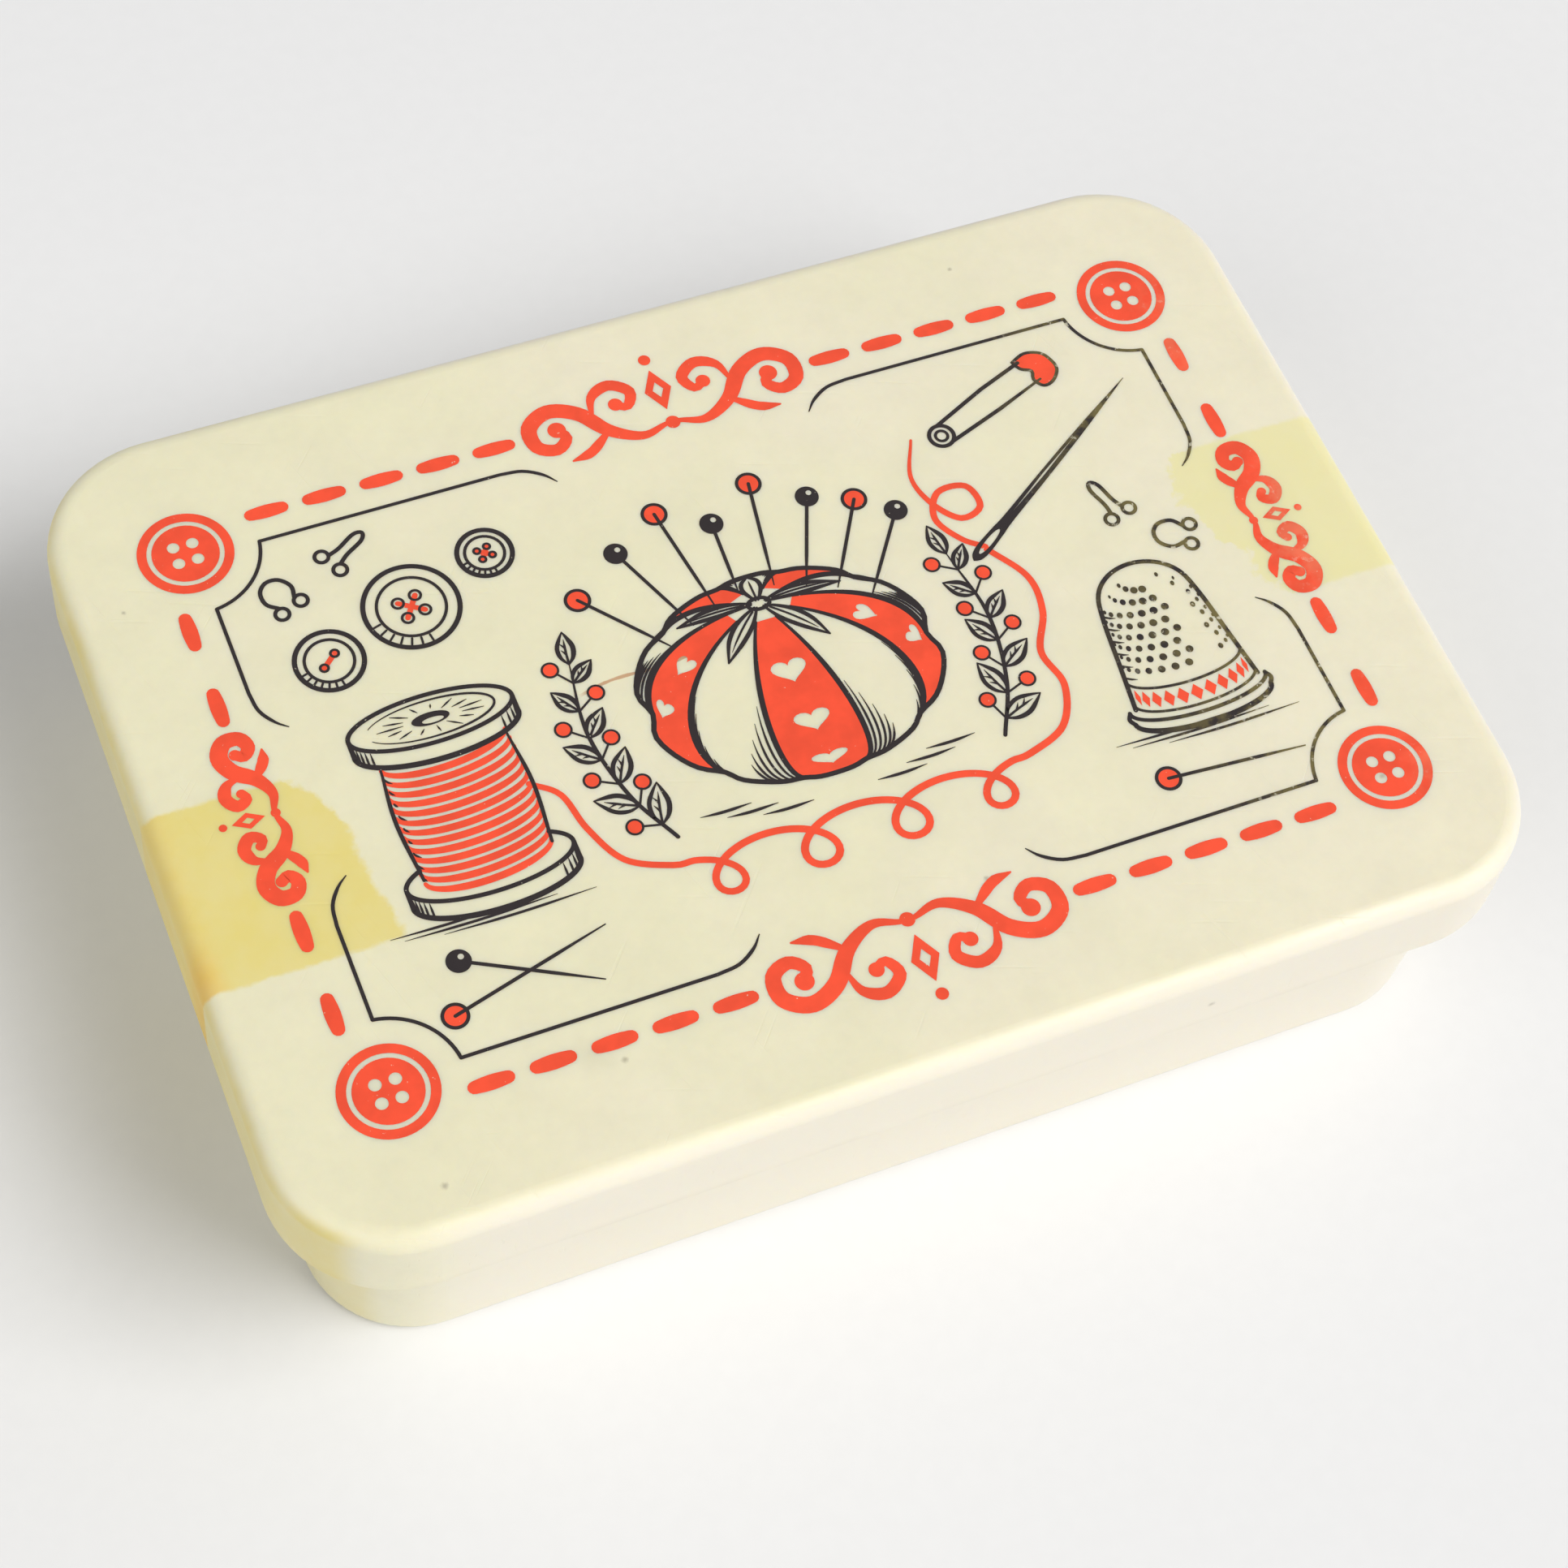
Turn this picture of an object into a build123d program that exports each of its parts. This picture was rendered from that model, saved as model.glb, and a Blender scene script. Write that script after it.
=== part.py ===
from build123d import *
import math
import os

# Pin box: a moulded cream plastic tray, a lift-off lid whose skirt slips over it, and pins in the tray.
# Millimetres, +Z up. The origin is the centre of the tray's underside, the long sides run along X,
# and the long side that faces the viewer looks towards -Y.

# Lid
lid_width = 84.0
lid_depth = 60.0
lid_corner_radius = 8.4
lid_height = 6.8
lid_top_thickness = 1.8
lid_wall = 1.5
lid_edge_radius = 1.3
lid_lip_radius = 0.3
lid_draft = 0.6  # degrees

# Tray
box_height = 20.6  # table to the top of the closed lid
tray_corner_radius = 7.2  # at the foot
tray_wall = 1.6
tray_floor = 1.8
tray_draft = 2.0  # degrees
tray_foot_radius = 0.8
tray_inner_radius = 2.0
rim_edge_radius = 0.4

# Fits
skirt_clearance = 0.25  # lid wall to tray rim, each side
seat_gap = 0.05  # lid ceiling to tray rim
rest_gap = 0.03  # a pin above the floor it lies on
bond_gap = 0.01  # a glass head to the shank in it

# Pins
shank_diameter = 0.7
point_length = 4.0
point_diameter = 0.1
ball_pin_length = 32.0
ball_diameter = 3.0
ball_bite = 2.0  # how far a shank goes into its glass head
plain_pin_length = 28.0
plain_head_diameter = 1.9
plain_head_thickness = 0.8
plain_head_edge = 0.25

# How the pins lie: across the tray, side by side, every other one turned end for end
wall_gap = 0.8  # from the floor's rounded edge to the room the pins take
pin_gap = 1.4  # from a ball to the shank beside it
side_gap = 0.35  # what is left of that where two pins lean together
lean_share = 0.7  # the part of the room beside a pin that its lean may use
slide_share = 0.8  # the part of the room past a pin's ends that its slide may use
spread_angle = 137.5  # degrees, from one pin to the next, so that no two lean or slide alike
kinds_in_order = ("pearl", "plain", "black")

# Worked out from the sizes above
skirt_bottom = box_height - lid_height
ceiling = box_height - lid_top_thickness
rim_height = ceiling - seat_gap
hollow_narrowing = (ceiling - skirt_bottom) * math.tan(math.radians(lid_draft))
rim_inset = lid_wall + hollow_narrowing + skirt_clearance
foot_inset = rim_inset + rim_height * math.tan(math.radians(tray_draft))
floor_inset = foot_inset + tray_wall - tray_floor * math.tan(math.radians(tray_draft))
pins_inset = floor_inset + tray_inner_radius + wall_gap
pins_width = lid_width - 2 * pins_inset
pins_depth = lid_depth - 2 * pins_inset
shank_radius = shank_diameter / 2
ball_radius = ball_diameter / 2
pin_count = int(pins_width / (ball_radius + shank_radius + pin_gap))


def box_outline(inset, corner_radius, z):
    """The lid's outline, drawn in by inset, on the level z."""
    width = lid_width - 2 * inset
    depth = lid_depth - 2 * inset
    return Pos(0, 0, z) * RectangleRounded(width, depth, corner_radius)


def round_level(solid, z, radius):
    """The solid with its edges on the level z rounded."""
    return fillet(solid.edges().filter_by_position(Axis.Z, z, z), radius)


def make_lid():
    """A shallow cap with a rounded upper edge and a slightly tapered skirt."""
    outline = box_outline(0, lid_corner_radius, skirt_bottom)
    cap = extrude(outline, lid_height, taper=lid_draft)
    cap = round_level(cap, box_height, lid_edge_radius)
    inner_outline = box_outline(lid_wall, lid_corner_radius - lid_wall, skirt_bottom)
    hollow = extrude(inner_outline, ceiling - skirt_bottom, taper=lid_draft)
    hollow = round_level(hollow, ceiling, rim_edge_radius)
    return round_level(cap - hollow, skirt_bottom, lid_lip_radius)


def make_tray():
    """An open tray whose walls widen towards the rim, with a rounded foot and rim."""
    outline = box_outline(foot_inset, tray_corner_radius, 0)
    block = extrude(outline, rim_height, taper=-tray_draft)
    block = round_level(block, 0, tray_foot_radius)
    inner_corner_radius = tray_corner_radius + foot_inset - floor_inset
    inner_outline = box_outline(floor_inset, inner_corner_radius, tray_floor)
    hollow = extrude(inner_outline, rim_height - tray_floor, taper=-tray_draft)
    hollow = round_level(hollow, tray_floor, tray_inner_radius)
    return round_level(block - hollow, rim_height, rim_edge_radius)


def turned(*profile):
    """A solid of revolution about the X axis, from the half outline through profile's points."""
    return revolve(make_face(Polyline(*profile, close=True)), Axis.X)


def shank(start, end):
    """A shank along the X axis, blunt at start and tapered to a point at end."""
    shoulder = end - point_length
    return turned(
        (start, 0),
        (start, shank_radius),
        (shoulder, shank_radius),
        (end, point_diameter / 2),
        (end, 0),
    )


def ball_head():
    """A glass ball with a blind hole for the shank, its outermost point at x = 0."""
    ball = Pos(ball_radius, 0, 0) * Sphere(ball_radius)
    hole_end = ball_diameter - ball_bite - bond_gap
    hole_radius = shank_radius + bond_gap
    hole = turned(
        (hole_end, 0), (hole_end, hole_radius), (ball_diameter, hole_radius), (ball_diameter, 0)
    )
    return ball - hole


def plain_head():
    """A flat steel head with both of its rims a little rounded."""
    disc = turned(
        (0, 0),
        (0, plain_head_diameter / 2),
        (plain_head_thickness, plain_head_diameter / 2),
        (plain_head_thickness, 0),
    )
    return fillet(disc.edges().filter_by(GeomType.CIRCLE), plain_head_edge)


class BallPin:
    """A pin with a glass ball for a head, in two pieces."""

    length = ball_pin_length
    head_radius = ball_radius
    head_reach = ball_radius  # from the pin's end to where the head touches the floor

    def solids():
        return {"_head": ball_head(), "_shank": shank(ball_diameter - ball_bite, ball_pin_length)}


class PlainPin:
    """An all-steel pin in one piece."""

    length = plain_pin_length
    head_radius = plain_head_diameter / 2
    head_reach = plain_head_thickness

    def solids():
        return {"": plain_head() + shank(0, plain_pin_length)}


def pin_place(pin, number):
    """Where a pin lies: on the floor, on its head and on the shoulder of its point."""
    spread = math.radians(spread_angle) * number
    pitch = pins_width / pin_count
    room_beside = pitch - ball_radius - shank_radius - side_gap
    room_past = pins_depth - pin.length
    lean = lean_share * math.atan(room_beside / pin.length) * math.sin(spread)
    x = (number - (pin_count - 1) / 2) * pitch
    y = slide_share * room_past / 2 * math.cos(spread)
    end_for_end = 180 * (number % 2)

    drop = pin.head_radius - shank_radius
    dip = math.asin(drop / (pin.length - point_length - pin.head_reach))
    z = pin.head_radius - (pin.length / 2 - pin.head_reach) * math.sin(dip)
    heading = Rot(0, 0, 90 + end_for_end + math.degrees(lean))
    middle_at_origin = Rot(0, math.degrees(dip), 0) * Pos(-pin.length / 2, 0, 0)
    return Pos(x, y, tray_floor + rest_gap + z) * heading * middle_at_origin


def make_pins():
    """Every pin's solids where they lie, by node name."""
    solids = {}
    count = {kind: 0 for kind in kinds_in_order}
    for number in range(pin_count):
        kind = kinds_in_order[number % len(kinds_in_order)]
        count[kind] += 1
        pin = PlainPin if kind == "plain" else BallPin
        place = pin_place(pin, number)
        for ending, solid in pin.solids().items():
            solids[f"{kind}_pin_{count[kind]:02d}{ending}"] = place * solid
    return solids


os.makedirs("parts", exist_ok=True)
for node, solid in {"lid": make_lid(), "tray": make_tray(), **make_pins()}.items():
    export_step(solid, f"parts/{node}.step")
print(pin_count, "pins, tray rim at", round(rim_height, 2))
print("foot drawn in by", round(foot_inset, 2), "and the tray's floor by", round(floor_inset, 2))
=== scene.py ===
import math

import bpy
from bpy.props import FloatProperty, FloatVectorProperty, PointerProperty
from mathutils import Matrix, Vector
from mathutils.geometry import tessellate_polygon


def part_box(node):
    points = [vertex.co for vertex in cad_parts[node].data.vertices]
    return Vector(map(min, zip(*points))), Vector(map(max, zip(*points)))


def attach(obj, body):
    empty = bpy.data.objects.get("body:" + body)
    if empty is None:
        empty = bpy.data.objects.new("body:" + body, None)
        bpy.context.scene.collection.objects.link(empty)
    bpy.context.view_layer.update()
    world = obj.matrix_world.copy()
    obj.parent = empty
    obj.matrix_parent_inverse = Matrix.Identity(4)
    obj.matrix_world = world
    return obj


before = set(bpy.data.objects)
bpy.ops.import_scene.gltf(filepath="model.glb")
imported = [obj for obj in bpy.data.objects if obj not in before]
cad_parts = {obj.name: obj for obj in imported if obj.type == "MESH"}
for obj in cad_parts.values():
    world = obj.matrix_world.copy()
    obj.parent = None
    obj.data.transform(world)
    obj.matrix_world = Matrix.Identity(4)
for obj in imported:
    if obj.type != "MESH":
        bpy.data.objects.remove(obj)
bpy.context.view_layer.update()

bl_info = {
    "name": "Pin Box",
    "version": (1, 0, 0),
    "blender": (4, 5, 0),
    "location": "3D View > Sidebar > Pin Box",
    "description": "Dresses the packed pin box: aged cream plastic, a printed lid, pins and a studio",
    "category": "Object",
}

MM = 0.001

# Sizes of the packed lid and tray, in millimetres
LID_LOW, LID_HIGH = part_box("lid")
TRAY_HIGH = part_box("tray")[1]
LID_TOP = LID_HIGH.z / MM
SKIRT_FOOT = LID_LOW.z / MM
LID_CORNER = 8.4
TRAY_CORNER = 7.4


# Settings


def colour_of(name, description, *value):
    return FloatVectorProperty(name=name, description=description, subtype="COLOR", size=4,
                               min=0, max=1, default=(*value, 1))


def place_of(name, description, *value):
    """A place that is given in millimetres."""
    return FloatVectorProperty(name=name, description=description, subtype="TRANSLATION", size=3,
                               default=[part * MM for part in value])


def length_of(name, description, value, low=0.0):
    """A length that is given in millimetres."""
    return FloatProperty(name=name, description=description, default=value * MM, min=low * MM,
                         unit="LENGTH")


def number_of(name, description, value, low=0.0, **more):
    return FloatProperty(name=name, description=description, default=value, min=low, **more)


class PlasticSettings(bpy.types.PropertyGroup):
    """The moulded plastic of the lid and the tray."""

    cool_cream: colour_of("Cool Cream", "The plastic where it leans to green", 0.83, 0.795, 0.57)
    warm_cream: colour_of("Warm Cream", "The plastic where it leans to pink", 0.85, 0.80, 0.615)
    # Pale Cream is partly painted light: it makes the lit walls and the rounded edge paler
    pale_and_lit_cream: colour_of("Pale Cream", "The walls, which have yellowed less", 0.88, 0.825, 0.72)
    # Aged also paints shade: the amber of the left edges that face away from the key lamp
    aged_and_shade_amber: colour_of("Aged", "The plastic where edges have yellowed", 0.76, 0.63, 0.15)
    grime: colour_of("Grime", "Dirt in specks and along the joint", 0.20, 0.16, 0.09)
    rust: colour_of("Rust", "The thin scratch on the lid", 0.52, 0.22, 0.07)
    stain: colour_of("Tape Stain", "What sticky tape has turned the plastic to", 0.80, 0.69, 0.235)
    deep_stain: colour_of("Deep Stain", "The darkest of it, at the box's edge", 0.82, 0.53, 0.09)
    faint_stain: colour_of("Faint Stain", "The tape's stain on the right", 0.83, 0.775, 0.38)
    tape_width: length_of("Tape Width", "Width of the tape that left the stains", 13.0)
    cloud_size: length_of("Cloud Size", "Size of the slow changes of tint", 16.0, low=1.0)
    roughness: number_of("Roughness", "How dull the plastic is where nothing has touched it", 0.36,
                         max=1, subtype="FACTOR")


class PrintSettings(bpy.types.PropertyGroup):
    """The two-colour print on the lid."""

    red: colour_of("Red Ink", "Colour of the vermilion ink", 0.93, 0.088, 0.036)
    thin_red: colour_of("Thin Red", "The red ink where it is worn thin", 0.86, 0.30, 0.16)
    black: colour_of("Black Ink", "Colour of the black ink", 0.020, 0.014, 0.015)
    thin_black: colour_of("Thin Black", "The black ink where it is worn thin", 0.16, 0.13, 0.045)
    half_width: length_of("Half Width", "From the print's middle to its border, across", 35.0, low=20)
    half_depth: length_of("Half Depth", "From the print's middle to its border, up", 21.6, low=15)
    red_line: length_of("Red Line", "Width of the bold red strokes", 1.0, low=0.1)
    black_line: length_of("Black Line", "Width of the fine black strokes", 0.30, low=0.05)
    thickness: length_of("Ink Thickness", "How far the ink stands proud of the lid", 0.02, low=0.001)


class PinSettings(bpy.types.PropertyGroup):
    """The pins in the tray."""

    steel: colour_of("Steel", "Colour of the bright plated steel", 0.72, 0.72, 0.70)
    tarnish: colour_of("Tarnish", "Colour of the steel where it has dulled", 0.46, 0.42, 0.36)
    pearl: colour_of("White Glass", "Colour of the white heads", 0.88, 0.87, 0.82)
    pearl_swirl: colour_of("White Swirl", "Colour of the swirls in them", 0.80, 0.72, 0.60)
    jet: colour_of("Black Glass", "Colour of the black heads", 0.02, 0.02, 0.02)
    jet_swirl: colour_of("Black Swirl", "Colour of the swirls in them", 0.05, 0.045, 0.055)


class StudioSettings(bpy.types.PropertyGroup):
    """The camera, the floor and the lamps."""

    camera_place: place_of("Camera", "Where the camera stands", -57.11, -98.11, 197.13)
    camera_aim: place_of("Aim", "What the camera looks at", -3.55, -8.47, 20.6)
    camera_roll: FloatProperty(
        name="Roll", description="How far the camera is turned about its own line of sight",
        default=math.radians(10.01), subtype="ANGLE",
    )
    lens: number_of("Lens", "Focal length in millimetres, on a 36 mm sensor", 75.09, low=10)
    floor: colour_of("Floor", "Colour of the floor and of what lies beyond it", 0.85, 0.85, 0.85)
    key_power: number_of("Key Lamp", "Power of the large soft lamp on the right, in watts", 61.5)
    fill_power: number_of("Fill Lamp", "Power of the weak lamp on the left, in watts", 8.2)
    sky: number_of("Sky", "Strength of the even light from all round", 0.37)


# Shader building


def reckoned(operation):
    """A method that puts a value through a Math node, with what else the node takes."""
    return lambda self, *others: self.wiring.maths(operation, self, *others)


class Value:
    """The output of a node, which can be reckoned with."""

    def __init__(self, wiring, socket):
        self.wiring = wiring
        self.socket = socket

    def __rtruediv__(self, other):
        return self.wiring.maths("DIVIDE", other, self)

    __add__ = reckoned("ADD")
    __sub__ = reckoned("SUBTRACT")
    __mul__ = reckoned("MULTIPLY")
    __truediv__ = reckoned("DIVIDE")
    __abs__ = reckoned("ABSOLUTE")
    at_least = reckoned("MAXIMUM")
    at_most = reckoned("MINIMUM")
    above = reckoned("GREATER_THAN")
    sine = reckoned("SINE")


class Wiring:
    """Adds nodes to a node tree and joins them. Places are in millimetres on the object."""

    def __init__(self, tree):
        self.tree = tree

    def node(self, kind, **settings):
        made = self.tree.nodes.new(kind)
        for name, value in settings.items():
            setattr(made, name, value)
        return made

    def put(self, socket, value):
        if isinstance(value, Value):
            self.tree.links.new(value.socket, socket)
        else:
            socket.default_value = value

    def put_all(self, sockets, values):
        for name, value in values.items():
            self.put(sockets[name], value)

    def output(self, kind, given=(), of=0, **settings):
        """An output of a new node, whose inputs get what is given, in order or by name."""
        made = self.node(kind, **settings)
        self.put_all(made.inputs, given if isinstance(given, dict) else dict(enumerate(given)))
        return Value(self, made.outputs[of])

    def outputs(self, node):
        return {socket.name: Value(self, socket) for socket in node.outputs}

    def maths(self, operation, *values, clamp=False):
        return self.output("ShaderNodeMath", values, operation=operation, use_clamp=clamp)

    def scaled(self, vector, factor):
        given = {0: vector, "Scale": factor}
        return self.output("ShaderNodeVectorMath", given, operation="SCALE")

    def distance(self, place, other=(0, 0, 0)):
        return self.output("ShaderNodeVectorMath", (place, other), of="Value", operation="DISTANCE")

    def parts(self, place):
        made = self.node("ShaderNodeSeparateXYZ")
        self.put(made.inputs[0], place)
        return [Value(self, socket) for socket in made.outputs]

    def joined(self, x, y, z):
        return self.output("ShaderNodeCombineXYZ", (x, y, z))

    def spun(self, place, angle, centre=(0, 0, 0)):
        """The place, turned about an upright line through the centre."""
        given = {"Vector": place, "Center": centre, "Angle": angle}
        return self.output("ShaderNodeVectorRotate", given, rotation_type="Z_AXIS")

    def mix(self, share, low, high):
        return self.output("ShaderNodeMix", {0: share, 6: low, 7: high}, of=2, data_type="RGBA")

    def span(self, value, low, high, to_low=0.0, to_high=1.0):
        """value from low to high, smoothed and turned into to_low to to_high."""
        given = value, low, high, to_low, to_high
        return self.output("ShaderNodeMapRange", given, interpolation_type="SMOOTHSTEP")

    def noise(self, place, size, detail=2.0, roughness=0.5):
        """Noise from 0 to 1 whose features are about size millimetres."""
        given = {"Vector": place, "Scale": 1 / size, "Detail": detail, "Roughness": roughness}
        return self.output("ShaderNodeTexNoise", given)

    def place(self):
        """Where a point is on the object, in millimetres."""
        return self.scaled(self.output("ShaderNodeTexCoord", of="Object"), 1 / MM)

    def facing(self):
        """The three parts of the way that the surface faces."""
        return self.parts(self.output("ShaderNodeTexCoord", of="Normal"))

    def bumped(self, height, distance):
        """A normal for a surface that stands height times distance millimetres proud."""
        return self.output("ShaderNodeBump", {"Distance": distance * MM, "Height": height})

    def use(self, group, **values):
        """The outputs of a node group, whose inputs get the values."""
        made = self.node("ShaderNodeGroup", node_tree=group)
        self.put_all(made.inputs, {name.replace("_", " ").title(): values[name] for name in values})
        return self.outputs(made)


COLOUR, NUMBER = "NodeSocketColor", "NodeSocketFloat"


def shader_group(inputs, outputs):
    """Turns a function that wires a group into one that gives the group, and builds it only once.
    The first function takes the wiring, a place on the object and the inputs."""
    def wrapped(wire):
        def group():
            tree = bpy.data.node_groups.get(wire.__name__)
            if tree:
                return tree
            tree = bpy.data.node_groups.new(wire.__name__, "ShaderNodeTree")
            for direction, sockets in (("INPUT", inputs), ("OUTPUT", outputs)):
                for name, kind in sockets.items():
                    tree.interface.new_socket(name=name, in_out=direction, socket_type=kind)
            w = Wiring(tree)
            given = w.outputs(w.node("NodeGroupInput"))
            w.put_all(w.node("NodeGroupOutput").inputs, wire(w, w.place(), given))
            return tree
        return group
    return wrapped


@shader_group(
    {"Cool": COLOUR, "Warm": COLOUR, "Cloud Size": NUMBER, "Mottle": NUMBER}, {"Colour": COLOUR},
)
def aged_tint(w, place, given):
    """Slow clouds between two creams, and a fine mottle."""
    clouds = w.noise(place, given["Cloud Size"], 3.0, 0.55)
    share = w.span(clouds + w.parts(place)[0] * 0.006, 0.28, 0.74)
    cream = w.mix(share, given["Cool"], given["Warm"])
    grain = w.noise(place, 0.9, 4.0, 0.65) - 0.5
    patches = w.noise(place, 4.5, 3.0, 0.6) - 0.5
    return {"Colour": w.scaled(cream, (grain * 0.7 + patches) * given["Mottle"] + 1.0)}


@shader_group(
    {"Half Width": NUMBER, "Half Depth": NUMBER, "Corner Radius": NUMBER, "Reach": NUMBER},
    {"Mask": NUMBER},
)
def edge_ageing_and_shade(w, place, given):
    """A mask that is 1 at the box's outline and fades inwards, with an uneven border."""
    radius, reach = given["Corner Radius"], given["Reach"]
    x, y, _ = w.parts(place)
    past_x = abs(x) - (given["Half Width"] - radius)
    past_y = abs(y) - (given["Half Depth"] - radius)
    corner = w.joined(past_x.at_least(0.0), past_y.at_least(0.0), 0.0)
    inset = radius - (w.distance(corner) + past_x.at_least(past_y).at_most(0.0))
    faded = inset + w.noise(place, 5.0, 4.0, 0.6) * reach * 0.8
    return {"Mask": w.span(faded, 0.0, reach * 1.4, 1.0, 0.0)}


@shader_group(
    {
        "Colour": COLOUR, "Stain": COLOUR, "Deep Stain": COLOUR, "Side": NUMBER,
        "Near Edge": NUMBER, "Width": NUMBER, "Inner End": NUMBER, "Slant": NUMBER,
        "Torn": NUMBER, "Top": NUMBER, "Lowest": NUMBER, "Highest": NUMBER, "Strength": NUMBER,
    },
    {"Colour": COLOUR, "Mask": NUMBER},
)
def tape_stain(w, place, given):
    """The stain that a strip of tape across one end left: straight sides and a torn inner end."""
    x, y, z = w.parts(place)
    fine = w.noise(place, 0.7, 3.0, 0.6) - 0.5
    broad = w.noise(place, 3.2, 3.0, 0.6) - 0.5
    from_near = y - given["Near Edge"] + fine * 0.5
    from_far = given["Width"] - from_near
    strip = w.span(from_near, -0.12, 0.28) * w.span(from_far, -0.12, 0.28)
    # The inner end slants, its far corner is rounded off, and it is ragged
    outward = x * given["Side"]
    corner = (from_near - 8.5).at_least(0.0)
    end = from_near * given["Slant"] + (corner * corner * 0.12 + given["Inner End"])
    ragged = (fine + broad * 2.2) * given["Torn"]
    reached = w.span(outward - (end + ragged), -0.25, 0.35)
    # Only what the tape touched: the lid's top, and the walls that face outwards
    facing = w.facing()
    on_wall = w.span(facing[0] * given["Side"], 0.1, 0.4)
    on_top = w.span(facing[2], 0.2, 0.6) * w.span(z, given["Top"], given["Top"] + 0.3)
    above = w.span(z - (given["Lowest"] + broad * 6.0), -0.3, 0.3)
    below = w.span(given["Highest"] - z, 0.0, 0.4)
    touched = on_wall.at_least(on_top) * (above * below)
    covered = strip * reached * (touched * (broad * 0.5 + 0.92))
    mask = w.maths("MULTIPLY", covered, given["Strength"], clamp=True)
    # Deeper at the box's edge, most of all in the near corner
    deep = w.span(outward, 39.6, 41.9) * w.span(from_near, 5.0, 0.5, 0.3, 1.0)
    stain = w.mix(deep, given["Stain"], given["Deep Stain"])
    return {"Colour": w.mix(mask, given["Colour"], stain), "Mask": mask}


@shader_group(
    {"Scratch Length": NUMBER, "Amount": NUMBER},
    {"Scratches": NUMBER, "Rubbing": NUMBER, "Height": NUMBER},
)
def handling_marks(w, place, given):
    """Fine crossing scratches and dull rubbed patches."""
    lines = None
    for angle, drift in ((0.35, 3.0), (1.25, 17.0), (2.3, 31.0)):
        x, y, z = w.parts(w.spun(place, angle))
        drawn_out = w.joined(x / given["Scratch Length"], y * 3.2, z + drift)
        streak = w.span(w.noise(drawn_out, 1.0, 1.0, 0.5), 0.70, 0.78)
        lines = lines.at_least(streak) if lines else streak
    gaps = w.span(w.noise(place, 7.0, 2.0), 0.45, 0.62)
    scratches = lines * gaps * given["Amount"]
    rubbing = w.span(w.noise(place, 9.0, 4.0, 0.6), 0.42, 0.66) * given["Amount"]
    peel = w.noise(place, 1.5, 2.0, 0.4) * 0.5
    grain = w.noise(place, 0.35, 3.0, 0.6) * 0.25
    return {"Scratches": scratches, "Rubbing": rubbing, "Height": peel + grain - scratches}


@shader_group(
    {"Ink": COLOUR, "Thin Ink": COLOUR, "Bare": COLOUR, "Worn From": NUMBER},
    {"Colour": COLOUR, "Mask": NUMBER},
)
def ink_wear(w, place, given):
    """Where ink is thin, worn through to the plastic, or full of pinholes."""
    soft_edge = 9.0
    x = w.parts(place)[0]
    uneven = w.noise(place, 1.1, 3.0, 0.6)
    patches = w.noise(place, 6.0, 3.0, 0.55)
    toward_end = w.span(x + patches * soft_edge, given["Worn From"], given["Worn From"] + soft_edge)
    thin = toward_end * w.span(uneven, 0.36, 0.60)
    pinholes = w.span(w.noise(place, 0.22, 2.0, 0.5), 0.735, 0.78)
    flaked = w.span(w.noise(place, 0.5, 3.0, 0.6), 0.60, 0.68) * toward_end
    bare = (pinholes * 0.55).at_least(flaked * 0.6)
    faded = w.mix(thin, given["Ink"], given["Thin Ink"])
    return {"Colour": w.mix(bare, faded, given["Bare"]), "Mask": bare.at_least(thin)}


def new_material(name):
    """A material, its wiring, a place on the object, and the inputs of its Principled shader."""
    material = bpy.data.materials.new(name)
    material.use_nodes = True
    w = Wiring(material.node_tree)
    return material, w, w.place(), material.node_tree.nodes["Principled BSDF"].inputs


def paint(node, material):
    """Gives a packed node its material."""
    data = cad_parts[node].data
    data.materials.clear()
    data.materials.append(material)
    for face in data.polygons:
        face.material_index = 0


# Plastic


# Dark specks and a pale smudge on the lid: place in millimetres and radius
SPECKS = (
    ((-32.4, -26.9, 20.6), 0.22), ((-19.7, -22.9, 20.6), 0.20), ((32.3, -19.3, 20.6), 0.16),
    ((33.0, -20.6, 20.6), 0.22), ((32.6, -21.5, 20.6), 0.16), ((5.8, -18.9, 20.6), 0.18),
    ((17.1, -30.0, 16.4), 0.24), ((-38.5, 17.0, 20.6), 0.14), ((23.0, 26.0, 20.6), 0.15),
)
SMUDGE = ((-21.3, -22.0, 20.6), 1.3)
SCRATCH_ENDS = ((-13.6, 1.7), (-5.0, 2.7))


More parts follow.
